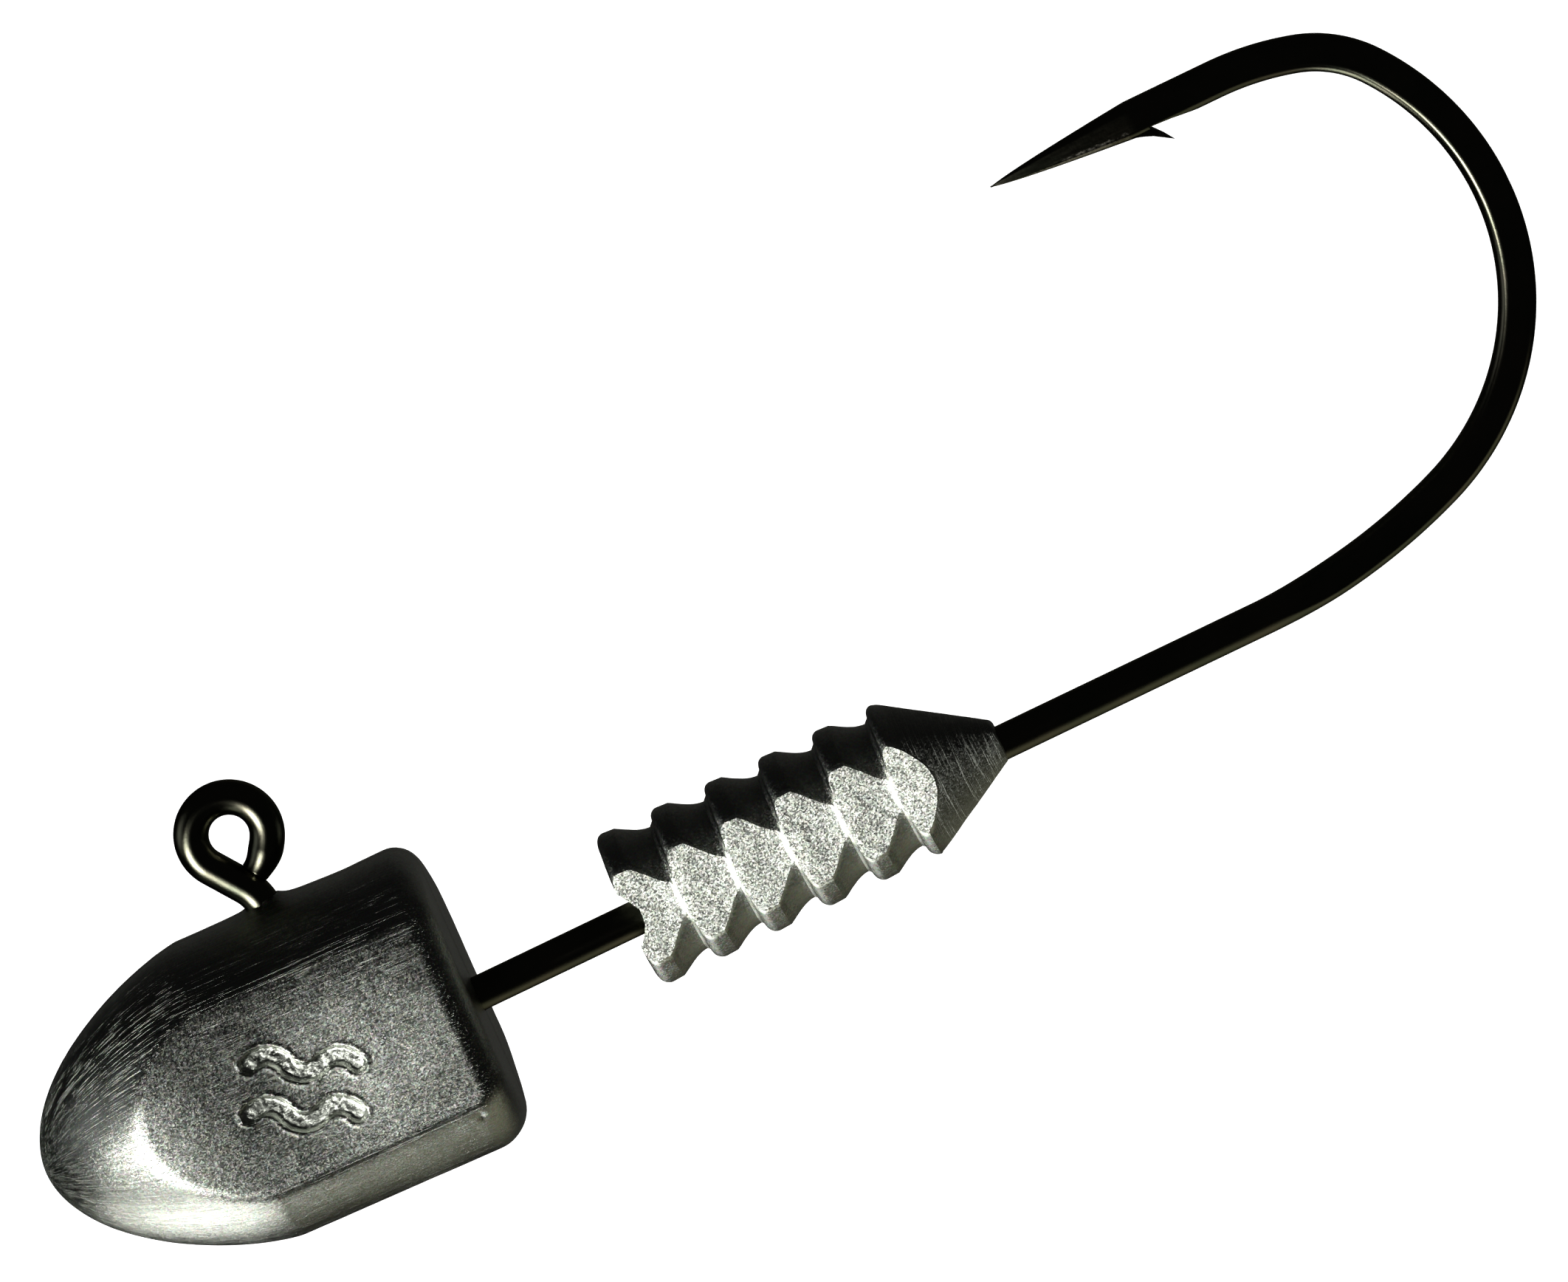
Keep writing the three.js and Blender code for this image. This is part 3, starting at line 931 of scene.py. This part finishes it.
def finish_keeper(keeper):
    points = add_spots(keeper)
    turn = np.arctan2(points[:, 2], points[:, 1] - KEEPER_RISE)
    set_attribute(keeper, "brush", np.column_stack([points[:, 0], 3 * np.cos(turn), 3 * np.sin(turn)]))
    cone = KEEPER_START + (RIBS - 1) * RIB_PITCH
    radius = np.hypot(points[:, 1] - KEEPER_RISE, points[:, 2])
    # The cone attribute also carries painted shade: the material paints the cone darker.
    on_cone = smooth(points[:, 0], cone + 0.6, cone + 1.2) * (np.abs(points[:, 2]) < KEEPER_HALF - 0.05)
    set_attribute(keeper, "cone", on_cone * (radius > 0.8))
    # Painted shade: the rounded sides are painted darker than the flats, the low sides more than the
    # top, and the low crest darkest.
    side = smooth(KEEPER_HALF - np.abs(points[:, 2]), 0.1, 0.2)
    painted_side_shade = lerp(LOW_SIDE_PAINTED_SHADE, TOP_SIDE_PAINTED_SHADE, smooth(points[:, 1], -1.5, 1.5))
    painted_dark_crest = (radius > RIB_RADIUS - PAINTED_SHADE_CREST_BAND) & (points[:, 1] < 0)
    set_attribute(keeper, "side", side * np.where(painted_dark_crest, 1.0, painted_side_shade))
    settle(keeper, frosted_lead(), "keeper", 24)


def finish_hook(hook, tip):
    points = add_spots(hook)
    stations, _ = hook_stations()
    coarse = stations[::6]
    nearest = np.full(len(points), 1e9)
    index = np.zeros(len(points), dtype=int)
    for i, station in enumerate(coarse):
        gap = np.hypot(points[:, 0] - station[0], points[:, 1] - station[1])
        closer = gap < nearest
        nearest[closer] = gap[closer]
        index[closer] = i
    x, y, heading, along = coarse[index].T
    side = -(points[:, 0] - x) * np.sin(heading) + (points[:, 1] - y) * np.cos(heading)
    set_attribute(hook, "brush", np.column_stack([along, side, points[:, 2]]))
    back = tip[3] - along
    inner = smooth(side, -0.1, 0.45)
    worn = inner * (1 - smooth(back, *POINT_WEAR_SPAN)) * POINT_WEAR
    barb = (points[:, 1] < tip[1] - 0.82) & (points[:, 0] > tip[0] + 5) & (points[:, 0] < tip[0] + 8.2)
    barb &= points[:, 1] > tip[1] - 2
    nipped = TAIL_WEAR * (1 - smooth(along - stations[0, 3], *TAIL_WEAR_SPAN))
    set_attribute(hook, "worn", np.maximum(np.maximum(worn, nipped), barb * BARB_WEAR))
    settle(hook, black_nickel(), "hook", 35)


def make_floor():
    corners = [(-1, -1), (1, -1), (1, 1), (-1, 1)]
    points = np.array([(x * FLOOR_HALF, y * FLOOR_HALF, -FLOOR_DROP) for x, y in corners])
    floor = make_object("floor", points * MM + ORIGIN * np.array([1, 1, 0]), [[0, 1, 2, 3]])
    floor.data.materials.append(pale_floor())
    floor.visible_diffuse = False
    floor.visible_glossy = False


def make_camera():
    eye, target = place(*EYE), place(*TARGET)
    back = (eye - target).normalized()
    up = Vector((math.sin(PICTURE_TURN), math.cos(PICTURE_TURN), 0))
    right = up.cross(back).normalized()
    upright = back.cross(right)
    data = bpy.data.cameras.new("camera")
    data.sensor_width = SENSOR
    data.lens = SENSOR * (eye - target).length / (PICTURE_WIDTH * MM)
    data.clip_start, data.clip_end = 0.01, 20
    camera = bpy.data.objects.new("camera", data)
    bpy.context.scene.collection.objects.link(camera)
    camera.matrix_world = Matrix.Translation(eye) @ Matrix((right, upright, back)).transposed().to_4x4()
    bpy.context.scene.camera = camera


def make_light(name, toward, distance, size, irradiance, colour):
    """A soft disc that shines on the part from a direction."""
    data = bpy.data.lights.new(name, "AREA")
    data.shape = "DISK"
    data.size = size * MM
    data.energy = irradiance * math.pi * (distance * MM) ** 2
    data.color = colour
    lamp = bpy.data.objects.new(name, data)
    bpy.context.scene.collection.objects.link(lamp)
    direction = Vector(toward).normalized()
    lamp.location = place(10, 5, 0) + direction * distance * MM
    lamp.visible_camera = False
    lamp.rotation_mode = "QUATERNION"
    lamp.rotation_quaternion = direction.to_track_quat("Z", "Y")
    return lamp


def make_world(strength, backdrop):
    """A dim grey room for the metal to reflect, behind a white backdrop."""
    world = bpy.data.worlds.new("room")
    world.use_nodes = True
    tree = world.node_tree
    tree.nodes.clear()
    seen = tree.nodes.new("ShaderNodeLightPath")
    room = tree.nodes.new("ShaderNodeBackground")
    room.inputs["Color"].default_value = grey(1.0)
    room.inputs["Strength"].default_value = strength
    white = tree.nodes.new("ShaderNodeBackground")
    white.inputs["Strength"].default_value = backdrop
    mixer = tree.nodes.new("ShaderNodeMixShader")
    output = tree.nodes.new("ShaderNodeOutputWorld")
    tree.links.new(seen.outputs["Is Camera Ray"], mixer.inputs[0])
    tree.links.new(room.outputs[0], mixer.inputs[1])
    tree.links.new(white.outputs[0], mixer.inputs[2])
    tree.links.new(mixer.outputs[0], output.inputs["Surface"])
    bpy.context.scene.world = world


hook, tip = make_hook()
finish_hook(hook, tip)
finish_head(make_head(lead_channel(CAST_GRIP)))
finish_keeper(make_keeper(shank_channel(CAST_GRIP)))
make_floor()
make_camera()
for light in LIGHTS:
    make_light(*light)
make_world(ROOM_STRENGTH, BACKDROP_STRENGTH)
bpy.context.scene.view_settings.view_transform = "Standard"
